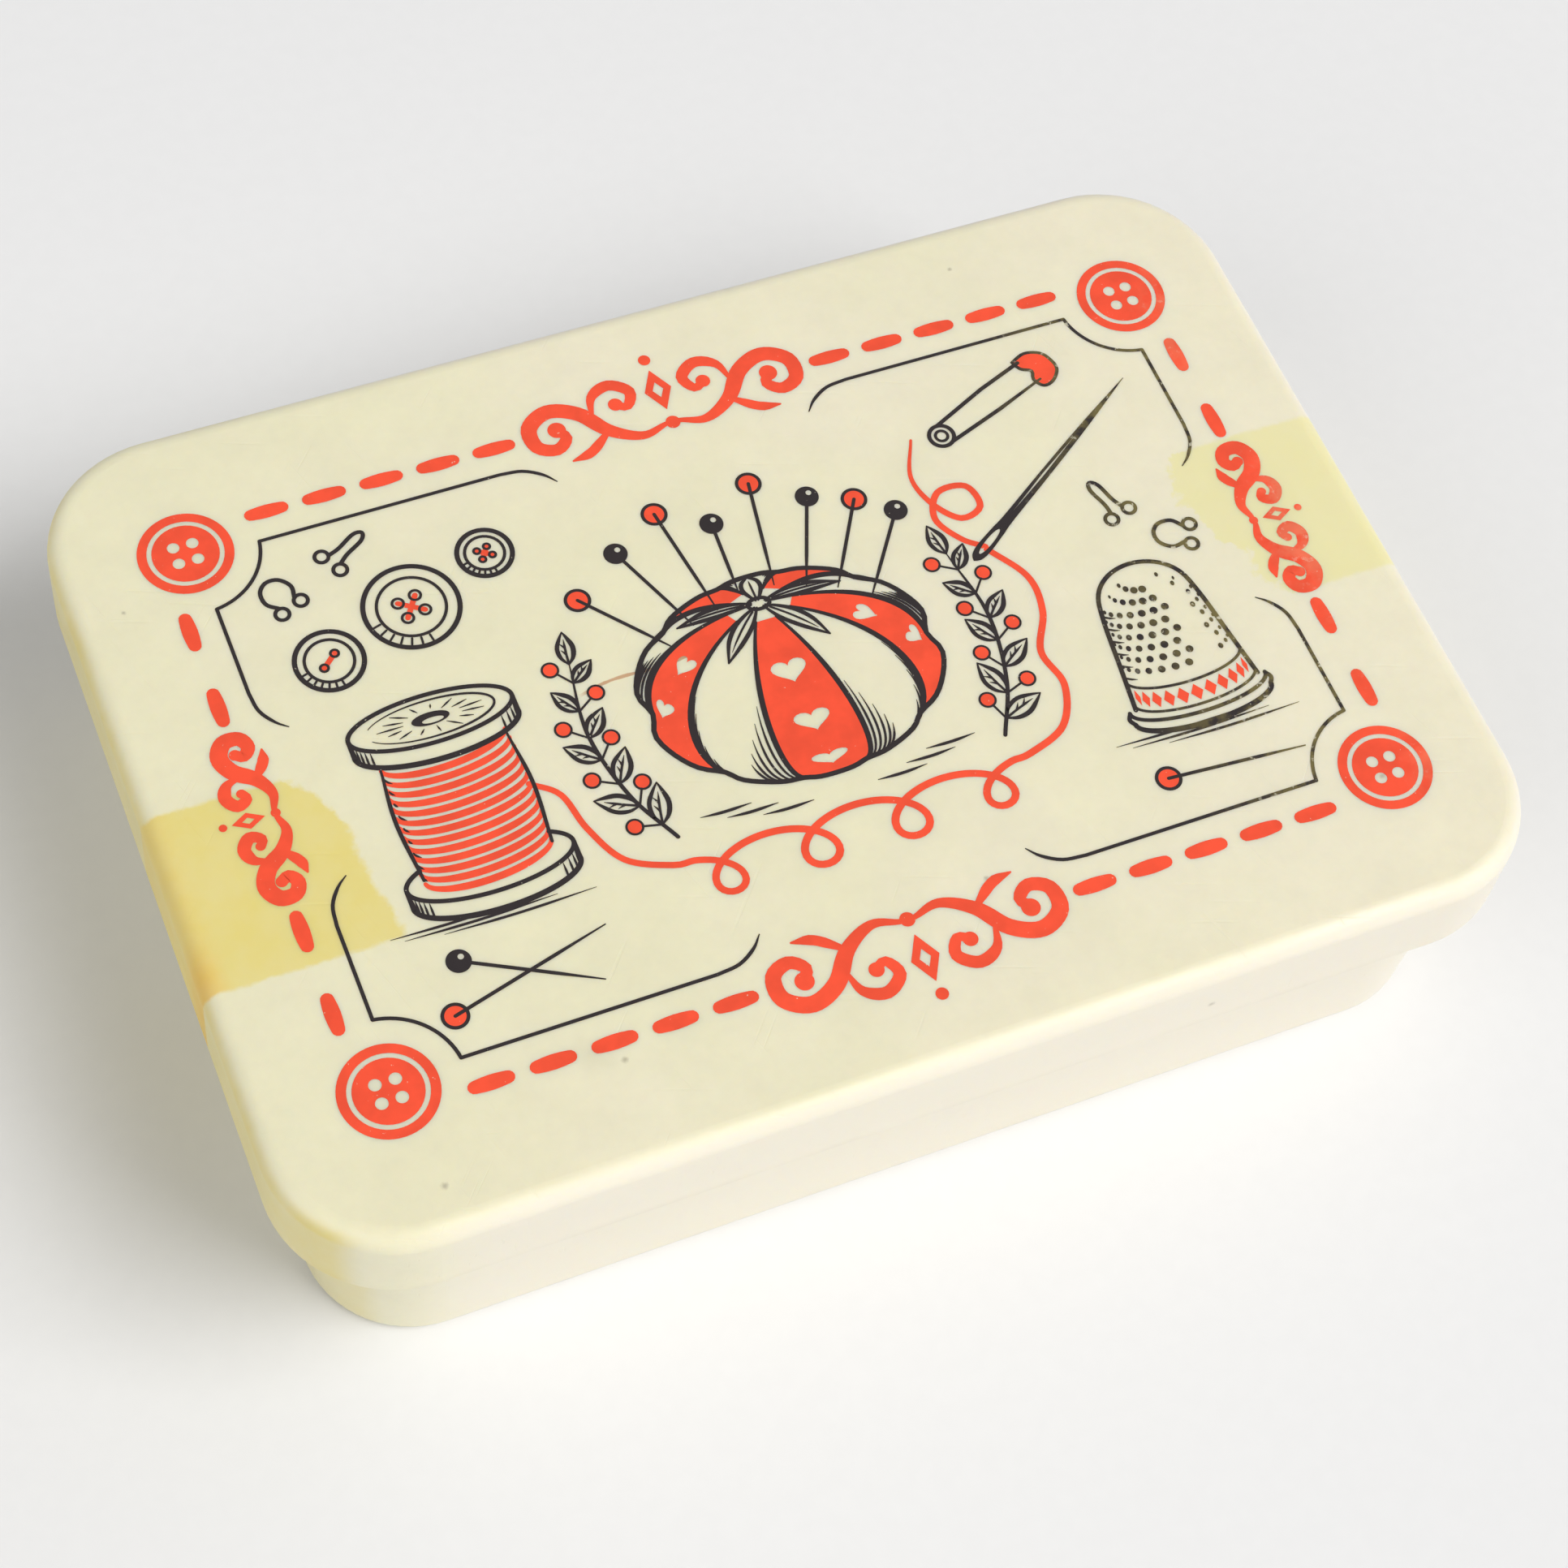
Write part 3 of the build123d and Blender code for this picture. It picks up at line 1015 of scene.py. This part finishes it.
def draw_reel(red, black):
    red.at = black.at = turned(-22.8, -2.6)
    wide, flat, thick = 5.4, 1.75, 1.25
    body, sag = 4.15, 1.25
    upper, lower = 5.9, -5.3
    # Upper disc
    black.ring(ellipse((0, upper), wide, flat))
    black.line(ellipse((0, upper), wide * 0.78, flat * 0.76, 200, 520), 0.55, 0.3, 0.3)
    black.fill(ellipse((0, upper), 1.25, 0.46, step=0.1),
               ellipse((0.12, upper - 0.14), 0.72, 0.2, step=0.08))
    for degrees in range(12, 360, 24):
        inner, outer = 1.8 + 0.5 * (degrees % 5) / 5, 3.1 + 0.6 * (degrees % 7) / 7
        ends = [on_ellipse((0, upper), r, r * flat / wide, degrees) for r in (inner, outer)]
        black.line(straight(*ends), 0.42, start=0.3, end=0.3)
    # Rims of both discs, with short shading strokes
    for level in (upper - thick, lower - thick):
        black.line(ellipse((0, level), wide, flat, 180, 360), 1.1, swell=0.2)
        for x in (-wide, wide):
            black.line(straight((x, level), (x, level + thick)))
        for degrees in (*range(186, 222, 6), *range(322, 356, 8)):
            x, y = on_ellipse((0, level), wide, flat, degrees)
            black.line(straight((x, y), (x, y + thick * 0.9)), 0.5, end=0.2)
    black.line(ellipse((0, lower), wide, flat, 141, 399))
    # Thread body
    turns = 13
    for number in range(turns):
        t = number / (turns - 1)
        half = body + 0.22 * math.sin(math.pi * t)
        turn = ellipse((0, 3.55 - 8.45 * t), half, sag, 183, 357)
        red.line([(x, y + 0.05 * x) for x, y in turn], 0.44, start=0.6, end=0.6, swell=0.12)
    for side in (-1, 1):
        edge = [(side * body, 3.3), (side * (body + 0.32), -0.6), (side * body, -4.9)]
        black.line(flowing(edge), 0.9, start=0.6, end=0.8)
    for number in range(9):
        shade = ellipse((0, 2.7 - 0.92 * number), body, sag, 184, 205 - (number % 3) * 4)
        black.line(shade, 0.5, start=0.7, end=0.2)
    ground(black, ((-7.4, 1.0), (-6.6, 3.2), (-4.2, 5.6)), lower - thick - flat * 0.75 - 0.25,
           flat * 0.2)
    # The loose end: off the reel, in loops along the foot of the print, up to the needle
    red.at = turned()
    path = [(-18.6, -3.2), (-17.0, -4.6), (-16.3, -7.4), (-14.9, -10.2)]
    loops, from_x, to_x = 4, -12.2, 12.2
    steps = loops * 14
    for number in range(steps + 1):
        t = number / steps
        angle = 2 * math.pi * loops * t + math.pi
        size = 1.75 + 0.3 * math.sin(math.pi * t)
        path.append((from_x + (to_x - from_x) * t - size * math.sin(angle) * 1.2,
                     -13.0 - size * math.cos(angle) * 0.82))
    path += [(15.0, -10.4), (16.4, -7.6), (16.0, -4.8), (17.4, -2.0), (17.6, 0.8), (15.9, 3.7)]
    red.line(flowing(path), 0.5, start=0.8, end=0.9)
    tail = [(15.9, 3.9), (14.6, 5.0), (13.6, 7.0), (14.6, 8.9), (16.6, 8.8), (16.9, 7.0),
            (15.3, 6.5), (13.9, 8.2), (13.4, 10.6), (14.6, 13.4)]
    red.line(flowing(tail), 0.46, start=0.9, end=0.4)


class PINBOX_OT_reel(bpy.types.Operator):
    """Prints the cotton reel on the left and the thread that runs off it to the needle"""

    bl_idname = "pin_box.reel"
    bl_label = "Print the Reel and Thread"

    def execute(self, context):
        return printed("reel", draw_reel)


def draw_needle(red, black):
    start, end = Vector((14.7, 3.1)), Vector((30.6, 13.6))
    way = end - start
    black.at = turned(start.x, start.y, math.degrees(math.atan2(way.y, way.x)))
    upper = [(0.0, 0.0), (0.35, 0.34), (1.2, 0.50), (3.0, 0.44), (4.4, 0.36), (9.0, 0.33),
             (14.0, 0.24), (way.length, 0.02)]
    smooth = flowing(upper, 0.3)
    outline = smooth + [(x, -y) for x, y in reversed(smooth[1:])]
    eye = ellipse((1.95, 0), 1.25, 0.23, step=0.12)
    glint = [(4.8, 0.06), (8.8, 0.13), (13.0, 0.05), (8.8, -0.02)]
    black.fill(outline, eye, glint)


class PINBOX_OT_needle(bpy.types.Operator):
    """Prints the threaded needle at the upper right"""

    bl_idname = "pin_box.needle"
    bl_label = "Print the Needle"

    def execute(self, context):
        return printed("needle", draw_needle)


def draw_thimble(red, black):
    red.at = black.at = turned(24.4, -6.6)
    wide, flat = 4.9, 1.35
    foot, shoulder = -5.3, 3.4

    def half_at(level):
        return wide - 0.35 - 1.15 * (level - foot) / (shoulder - foot)

    # Rolled foot and banded rim
    black.line(ellipse((0, foot), wide, flat, 180, 360), 1.1, swell=0.25)
    black.line(ellipse((0, foot + 0.85), wide, flat, 178, 362), 0.9)
    for side in (-1, 1):
        roll = [(side * wide, foot), (side * (wide + 0.22), foot + 0.42), (side * wide, foot + 0.85)]
        black.line(flowing(roll, 0.15))
    for level in (foot + 1.35, foot + 3.15):
        black.line(ellipse((0, level), half_at(level), flat * 0.95, 182, 358), 0.65)
    band = foot + 2.25
    for degrees in range(200, 354, 14):
        x, y = on_ellipse((0, band), half_at(band) * 0.97, flat * 0.95, degrees)
        half = 0.42 * abs(math.sin(math.radians(degrees))) + 0.02
        red.fill([(x, y - 0.62), (x + half, y), (x, y + 0.62), (x - half, y)])
    # Walls and dome
    wall = [(half_at(level), level) for level in (foot + 1.0, -1.0, shoulder - 0.8)]
    wall += [(2.95, 4.6), (1.7, 5.75)]
    black.line(flowing([(-x, y) for x, y in wall] + [(0, 6.15)] + wall[::-1]), 1.05)
    # Dimples in staggered rows, left out where the metal shines
    for row in range(8):
        level = -1.3 + 0.88 * row
        half = half_at(level) if level < shoulder else 3.1 - 1.05 * (level - shoulder)
        count = 12 - max(0, row - 5) * 2
        for number in range(count):
            share = (number + (0.5 if row % 2 else 0.0) + 0.5) / count
            if 0.60 < share < 0.76 or share > 0.98:
                continue
            degrees = 180 + 180 * share
            spot = on_ellipse((0, level + 0.4), half * 0.95, flat * 0.9, degrees)
            size = 0.12 + 0.15 * math.sin(math.pi * share)
            across = size * (0.5 + 0.5 * abs(math.sin(math.radians(degrees))))
            black.fill(ellipse(spot, across, size, step=0.1))
    for number in range(6):
        level = -1.9 + 0.95 * number
        x = -half_at(level)
        black.line([(x + 0.1, level), (x + 0.45, level - 0.2), (x + 0.8, level - 0.32)], 0.5, end=0.2)
    ground(black, ((-6.8, 2.0), (-5.8, 4.0), (-3.4, 6.0)), foot - flat * 0.6 - 0.3, flat * 0.3)


class PINBOX_OT_thimble(bpy.types.Operator):
    """Prints the thimble at the lower right"""

    bl_idname = "pin_box.thimble"
    bl_label = "Print the Thimble"

    def execute(self, context):
        return printed("thimble", draw_thimble)


# The sprigs, the buttons and the notions


# The stem of the left sprig, which is mirrored for the right one
STEM = ((-11.2, -9.8), (-13.0, -6.0), (-13.9, -1.0), (-13.2, 4.2))
LEAVES = 7


def leaf(ink, *where):
    """A pointed leaf from the origin along +X, 3 mm long, with its rib and veins."""
    ink.at = turned(*where)
    upper = flowing([(0.0, 0.0), (0.7, 0.52), (1.6, 0.66), (2.5, 0.32), (3.1, 0.0)], 0.25)
    lower = [(x, -y * 0.92) for x, y in upper]
    ink.line(upper, 0.72, start=0.5, end=0.4, swell=0.35)
    ink.line(lower, 0.72, start=0.5, end=0.4, swell=0.55)
    ink.line([(0.1, 0), (1.0, 0.03), (1.8, 0.02), (2.4, 0)], 0.55, end=0.2)
    for x in (0.9, 1.5):
        ink.line([(x, 0.02), (x + 0.3, 0.2), (x + 0.5, 0.38)], 0.38, end=0.3)
    ink.at = turned()


def draw_sprigs(red, black):
    for mirror in (False, True):
        at = turned(mirror=mirror)
        path = [Vector(at(point)) for point in flowing(STEM)]
        last = len(path) - 1
        black.line(path, 0.9, end=0.3)
        for number in range(LEAVES):
            spot = int((number + 0.8) / (LEAVES + 0.4) * last)
            foot = path[spot]
            way = path[min(spot + 1, last)] - foot
            heading = math.degrees(math.atan2(way.y, way.x))
            lean = 42 if number % 2 else -42
            leaf(black, *foot, heading + lean, 0.98 - 0.05 * number)
            # A berry on a stalk, on the other side of the stem
            *stalk, berry = [on_ellipse(foot, reach, reach, heading - lean * 1.15)
                             for reach in (0, 0.6, 1.25, 1.75)]
            black.line(stalk, 0.5)
            red.dot(berry, 0.52)
            black.ring(ellipse(berry, 0.52, step=0.12), 0.5)
        way = path[-1] - path[-3]
        leaf(black, *path[-1], math.degrees(math.atan2(way.y, way.x)), 0.8)


class PINBOX_OT_sprigs(bpy.types.Operator):
    """Prints the leafy sprigs with red berries on both sides of the pincushion"""

    bl_idname = "pin_box.sprigs"
    bl_label = "Print the Sprigs"

    def execute(self, context):
        return printed("sprigs", draw_sprigs)


def draw_buttons(red, black):
    for centre, radius, holes in (
        ((-21.2, 11.6), 3.1, (57, 147, 237, 327)), ((-27.4, 9.4), 2.2, (42, 222)),
        ((-15.4, 14.0), 1.8, (57, 147, 237, 327)),
    ):
        black.ring(ellipse(centre, radius, step=0.25), 1.1)
        black.ring(ellipse(centre, radius * 0.72, step=0.25), 0.7)
        spots = [on_ellipse(centre, radius * 0.29, radius * 0.29, degrees) for degrees in holes]
        for spot in spots:
            black.ring(ellipse(spot, radius * 0.12, step=0.1), 0.6)
        # Thread between opposite holes
        half = len(spots) // 2
        for ends in zip(spots[:half], spots[half:]):
            red.line(straight(*ends), 0.36)
        # Shading ticks on the rim
        for degrees in range(196, 294, 14):
            tick = [on_ellipse(centre, radius * r, radius * r, degrees) for r in (0.78, 0.85, 0.93)]
            black.line(tick, 0.5)


class PINBOX_OT_buttons(bpy.types.Operator):
    """Prints the loose buttons at the upper left"""

    bl_idname = "pin_box.buttons"
    bl_label = "Print the Buttons"

    def execute(self, context):
        return printed("buttons", draw_buttons)


# Half of the wire of an eye and of a hook
EYE = ((-0.62, 0.42), (-1.05, 1.25), (-0.75, 2.15), (0.0, 2.5))
HOOK = ((-0.5, 0.38), (-0.36, 1.2), (-0.36, 2.6), (0.0, 3.1))
SAFETY_CAP = ((3.3, 1.45), (4.5, 1.5), (5.4, 0.85), (5.6, 0.0), (5.4, -0.85), (4.5, -1.4),
              (3.7, -1.3), (3.5, -0.5), (3.9, 0.1), (3.4, 0.7))
LOOSE_PINS = (
    ((-17.6, -14.0), (-28.2, -16.8), "red"), ((-18.9, -17.5), (-26.8, -13.4), "black"),
    ((29.3, -16.9), (19.8, -16.2), "red"),
)


def draw_notions(red, black):
    # The safety pin
    red.at = black.at = turned(21.2, 14.7, 20)
    cap = flowing(SAFETY_CAP + SAFETY_CAP[:1], 0.25)[:-1]
    red.fill(cap)
    black.ring(cap, 0.8)
    black.line([(3.6, 1.2), (0.0, 1.15), (-4.4, 0.8)], 0.95)
    black.line([(3.9, -0.75), (0.0, -0.85), (-4.4, -0.8)], 0.95, start=0.6)
    black.ring(ellipse((-4.75, 0), 0.85, step=0.15), 0.95)
    black.ring(ellipse((-4.75, 0), 0.42, step=0.1), 0.7)
    # Bent wire between two small eyelets: the eyes and hooks of fastenings
    for x, y, degrees, half in (
        (-28.4, 14.0, 24, EYE), (-25.0, 16.4, -58, HOOK), (29.4, 0.4, 70, EYE), (25.6, 3.4, 18, HOOK),
    ):
        black.at = turned(x, y, degrees)
        for side in (-1, 1):
            black.ring(ellipse((side * 0.78, 0), 0.45, step=0.12), 0.85)
        whole = list(half) + [(-x, y) for x, y in reversed(half[:-1])]
        black.line(flowing(whole, 0.2), 0.95)
    red.at = black.at = turned()
    for pin in LOOSE_PINS:
        ball_pin(red, black, *pin)


class PINBOX_OT_notions(bpy.types.Operator):
    """Prints the safety pin, the hooks and eyes, and the loose pins"""

    bl_idname = "pin_box.notions"
    bl_label = "Print the Notions"

    def execute(self, context):
        return printed("notions", draw_notions)


# Stage


LAMP_AIM = Vector((0, 0, 0.01))
FLOOR_HALF = 2.0
FLOOR_FADE = (180.0, 520.0)  # millimetres from the box, over which the floor turns into what is beyond


def area_lamp(name, place, size, power, colour):
    lamp = bpy.data.lights.new(name, "AREA")
    lamp.size = size
    lamp.energy = power
    lamp.color = colour
    made = add_object(name, lamp)
    made.location = place
    made.rotation_euler = (LAMP_AIM - Vector(place)).to_track_quat("-Z", "Y").to_euler()


def seen_directly(w):
    """1 for what the camera, a reflection or glass sees, and 0 for what only sends light."""
    path = w.outputs(w.node("ShaderNodeLightPath"))
    seen = path["Is Camera Ray"] + path["Is Glossy Ray"]
    return w.maths("ADD", seen, path["Is Transmission Ray"], clamp=True)


def lay_floor(settings):
    material, w, place, shader = new_material("pale_paper")
    grain = w.span(w.noise(place, 1.5, 3.0), 0.3, 0.7, 0.99, 1.0)
    w.put_all(shader, {
        "Base Color": w.scaled(settings.floor[:3], grain), "Roughness": 0.9, "Specular IOR Level": 0.1,
    })
    nodes = material.node_tree.nodes
    paper = Value(w, nodes["Principled BSDF"].outputs[0])
    beyond = w.output("ShaderNodeEmission", (settings.floor,))
    share = w.span(w.distance(place), *FLOOR_FADE) * seen_directly(w)
    mixed = w.output("ShaderNodeMixShader", (share, paper, beyond))
    w.put(nodes["Material Output"].inputs[0], mixed)
    mesh = bpy.data.meshes.new("floor")
    corners = [(x * FLOOR_HALF, y * FLOOR_HALF, 0) for x, y in ((-1, -1), (1, -1), (1, 1), (-1, 1))]
    mesh.from_pydata(corners, [], [(0, 1, 2, 3)])
    mesh.materials.append(material)
    made = add_object("floor", mesh)


def light_sky(settings):
    world = bpy.data.worlds.new("studio_sky")
    world.use_nodes = True
    w = Wiring(world.node_tree)
    w.put_all(world.node_tree.nodes["Background"].inputs, {
        "Color": settings.floor, "Strength": w.span(seen_directly(w), 0.0, 1.0, settings.sky, 1.0),
    })
    bpy.context.scene.world = world


def set_camera(settings):
    data = bpy.data.cameras.new("camera")
    data.lens = settings.lens
    data.sensor_width = 36
    data.clip_start = 0.01
    place, aim = Vector(settings.camera_place), Vector(settings.camera_aim)
    forward = (aim - place).normalized()
    level_right = forward.cross(Vector((0, 0, 1))).normalized()
    level_up = level_right.cross(forward)
    roll = settings.camera_roll
    right = level_right * math.cos(roll) + level_up * math.sin(roll)
    up = right.cross(forward)
    turn = Matrix((right, up, -forward)).transposed().to_4x4()
    camera = add_object("camera", data)
    camera.matrix_world = Matrix.Translation(place) @ turn
    bpy.context.scene.camera = camera


class PINBOX_OT_studio(bpy.types.Operator):
    """Sets up the floor, the lamps, the sky and the camera"""

    bl_idname = "pin_box.studio"
    bl_label = "Set Up the Studio"

    def execute(self, context):
        settings = context.scene.pin_box_studio
        lay_floor(settings)
        light_sky(settings)
        area_lamp("key_lamp", (1.33, -1.22, 2.05), 1.8, settings.key_power, (1.0, 0.995, 0.99))
        area_lamp("fill_lamp", (-1.36, -0.56, 0.99), 1.3, settings.fill_power, (1.0, 1.0, 1.0))
        set_camera(settings)
        context.scene.view_settings.view_transform = "Standard"
        return {"FINISHED"}


# Add-on


OPERATORS = (
    PINBOX_OT_studio, PINBOX_OT_lid, PINBOX_OT_tray, PINBOX_OT_glass_heads, PINBOX_OT_steel_pins,
    PINBOX_OT_border, PINBOX_OT_cushion, PINBOX_OT_reel, PINBOX_OT_needle, PINBOX_OT_thimble,
    PINBOX_OT_sprigs, PINBOX_OT_buttons, PINBOX_OT_notions,
)
SETTINGS = {
    "pin_box_plastic": PlasticSettings,
    "pin_box_print": PrintSettings,
    "pin_box_pins": PinSettings,
    "pin_box_studio": StudioSettings,
}


class PINBOX_PT_panel(bpy.types.Panel):
    """Lists the pin box's pieces and settings"""

    bl_idname = "PINBOX_PT_panel"
    bl_label = "Pin Box"
    bl_space_type = "VIEW_3D"
    bl_region_type = "UI"
    bl_category = "Pin Box"

    def draw(self, context):
        for name, group in SETTINGS.items():
            box = self.layout.box()
            box.label(text=group.__doc__)
            for setting in group.__annotations__:
                box.prop(getattr(context.scene, name), setting)
        for operator in OPERATORS:
            self.layout.operator(operator.bl_idname)


def register():
    for group in (*SETTINGS.values(), *OPERATORS, PINBOX_PT_panel):
        bpy.utils.register_class(group)
    for name, group in SETTINGS.items():
        setattr(bpy.types.Scene, name, PointerProperty(type=group))


def unregister():
    for name in SETTINGS:
        delattr(bpy.types.Scene, name)
    for group in reversed((*SETTINGS.values(), *OPERATORS, PINBOX_PT_panel)):
        bpy.utils.unregister_class(group)


def main():
    register()
    for operator in OPERATORS:
        category, name = operator.bl_idname.split(".")
        getattr(getattr(bpy.ops, category), name)()


if __name__ == "__main__":
    main()
